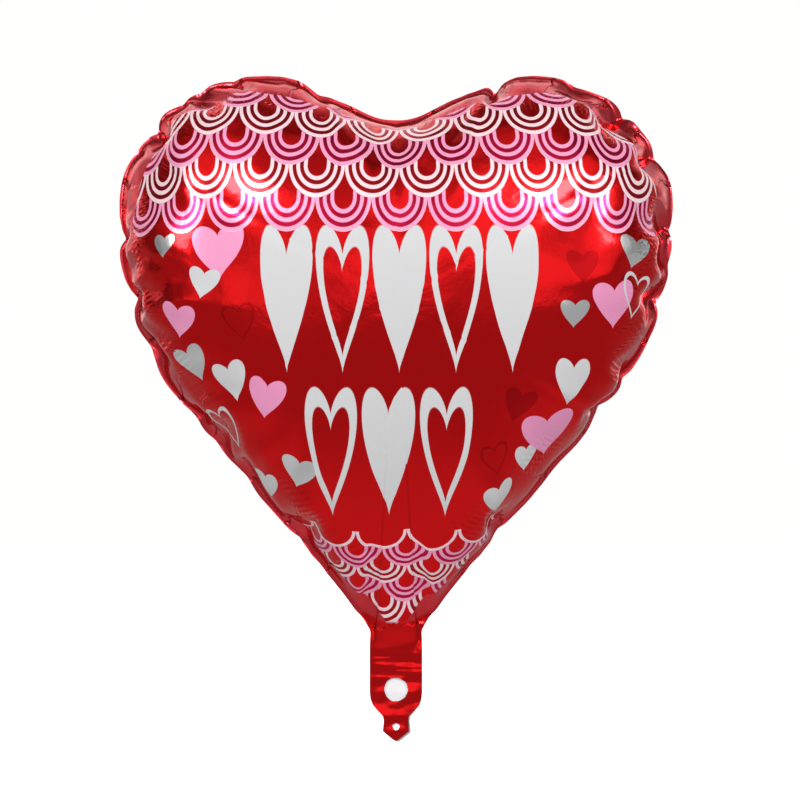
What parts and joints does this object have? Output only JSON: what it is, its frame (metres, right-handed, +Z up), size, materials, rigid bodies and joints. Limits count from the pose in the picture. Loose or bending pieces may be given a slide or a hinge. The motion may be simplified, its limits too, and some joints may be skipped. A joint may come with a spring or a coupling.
{
  "type": "foil balloon",
  "caption": "Heart-shaped foil balloon, filled, with a flat folding tail that carries the inflation hole, the tie hole and a self-closing film valve.",
  "frame": {"origin": "centre of the tie hole in the tip of the tail", "axes": "+Z up the balloon from the tail to the lobes, +X to the right seen from the front, the printed front faces -Y"},
  "size_m": [0.3724, 0.156, 0.4445],
  "materials": {
    "red_foil": "bright metallised film, red, printed in pink and white on the front",
    "clear_film": "thin clear plastic film"
  },
  "bodies": {
    "envelope": {"front_panel": "red_foil", "back_panel": "red_foil", "front_valve_tongue": "clear_film"},
    "tail": {"front_tail": "red_foil", "back_tail": "red_foil", "front_valve_inlet": "clear_film", "back_valve_inlet": "clear_film"},
    "valve_flap": {"back_valve_tongue": "clear_film"}
  },
  "joints": [
    {"name": "tail_fold", "type": "hinge", "parent": "envelope", "child": "tail", "pos_m": [0, 0, 0.0634], "axis": [1, 0, 0], "range_deg": [-100, 100]},
    {"name": "valve_flap_open", "type": "hinge", "parent": "envelope", "child": "valve_flap", "pos_m": [0, 0.0003, 0.0652], "axis": [-1, 0, 0], "range_deg": [0, 4.17], "stiffness_Nm_per_rad": 0.0005, "springref_deg": -1.15}
  ]
}
